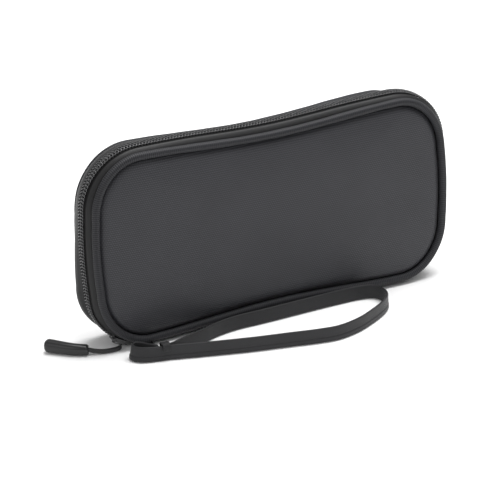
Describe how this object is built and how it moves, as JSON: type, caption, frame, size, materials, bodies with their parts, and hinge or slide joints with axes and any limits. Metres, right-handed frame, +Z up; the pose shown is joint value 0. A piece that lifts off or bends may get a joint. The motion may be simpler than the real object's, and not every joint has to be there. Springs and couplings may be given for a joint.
{
  "type": "tone probe kit",
  "caption": "Zip-around soft case with piped, waisted outline, wrist strap and zip pull, holding an inductive tone probe and a tone generator.",
  "frame": {"origin": "middle of the case's length and thickness, on the surface its spine stands on", "axes": "+X along the case to the right seen from the front, front face towards -Y, +Z up"},
  "size_m": [0.2746, 0.0865, 0.1289],
  "materials": {
    "panel_fabric": "fine woven nylon",
    "piping_fabric": "ribbed fabric over cord",
    "gusset_fabric": "smooth woven",
    "lining_fabric": "brushed knit",
    "zip_tape": "herringbone tape",
    "zip_coil": "nylon coil",
    "slider_metal": "black enamel",
    "pull_cord_fabric": "braided cord",
    "grip_rubber": "satin",
    "strap_webbing": "folded and stitched",
    "mesh_fabric": "open mesh",
    "elastic": "ribbed elastic",
    "tool_plastic": "fine texture",
    "tool_black": "fine texture",
    "probe_tip_plastic": "satin, conductive",
    "button_rubber": "satin",
    "led_red": "clear dome",
    "led_green": "clear dome",
    "speaker_cone": "moulded",
    "circuit_board": "solder mask",
    "battery_can": "satin",
    "screw_steel": "satin"
  },
  "bodies": {
    "root": {"spine_gusset": "gusset_fabric", "zipper_end_left": "zip_coil", "zipper_end_right": "zip_coil", "strap_anchor_tab": "strap_webbing", "wrist_strap": "strap_webbing"},
    "front_half": {"front_panel": "panel_fabric", "front_lining": "lining_fabric", "front_piping": "piping_fabric", "front_gusset": "gusset_fabric", "zipper_tape_front": "zip_tape", "zipper_coil_front": "zip_coil", "mesh_pocket": "mesh_fabric", "pocket_binding": "elastic"},
    "back_half": {"back_panel": "panel_fabric", "back_lining": "lining_fabric", "back_piping": "piping_fabric", "back_gusset": "gusset_fabric", "zipper_tape_back": "zip_tape", "zipper_coil_back": "zip_coil", "probe_loop_left": "elastic", "probe_loop_right": "elastic", "toner_loop": "elastic", "probe_shell_front": "tool_plastic", "probe_shell_back": "tool_black", "probe_tip": "probe_tip_plastic", "probe_led": "led_red", "probe_speaker": "speaker_cone", "probe_pcb": "circuit_board", "probe_battery": "battery_can", "probe_battery_cover": "tool_black", "probe_cover_screw": "screw_steel", "toner_shell_front": "tool_plastic", "toner_shell_back": "tool_black", "toner_led": "led_green", "toner_pcb": "circuit_board", "toner_battery": "battery_can", "toner_battery_cover": "tool_black", "toner_cover_screw": "screw_steel", "toner_gland": "tool_black"},
    "slider": {"slider_body": "slider_metal"},
    "pull": {"pull_cord": "pull_cord_fabric", "pull_grip": "grip_rubber"},
    "probe_button_body": {"probe_button": "button_rubber"},
    "volume_wheel_body": {"probe_volume_wheel": "tool_black"},
    "toner_switch_body": {"toner_slide_switch": "tool_black"}
  },
  "joints": [
    {"name": "front_open", "type": "hinge", "parent": "root", "child": "front_half", "pos_m": [0, -0.0166, 0.0049], "axis": [1, 0, 0], "range_deg": [0, 90], "deforming": ["wrist_strap"]},
    {"name": "back_open", "type": "hinge", "parent": "root", "child": "back_half", "pos_m": [0, 0.0145, 0.0049], "axis": [-1, 0, 0], "range_deg": [0, 90]},
    {"name": "slider_run", "type": "hinge", "parent": "root", "child": "slider", "pos_m": [-0.0857, -0.0045, 0.0379], "axis": [0, 1, 0], "range_deg": [0, 53]},
    {"name": "pull_swing", "type": "hinge", "parent": "slider", "child": "pull", "pos_m": [-0.1061, -0.0045, 0.00257], "axis": [0, 0, 1], "range_deg": [-50, 15]},
    {"name": "button_press", "type": "slide", "parent": "back_half", "child": "probe_button_body", "axis": [0, 1, 0], "range_m": [0, 0.0011], "stiffness_N_per_m": 600},
    {"name": "volume_turn", "type": "hinge", "parent": "back_half", "child": "volume_wheel_body", "pos_m": [-0.014, 0, 0.0806], "axis": [0, 1, 0], "range_deg": [0, 270]},
    {"name": "switch_slide", "type": "slide", "parent": "back_half", "child": "toner_switch_body", "axis": [1, 0, 0], "range_m": [-0.0035, 0.0035]}
  ]
}
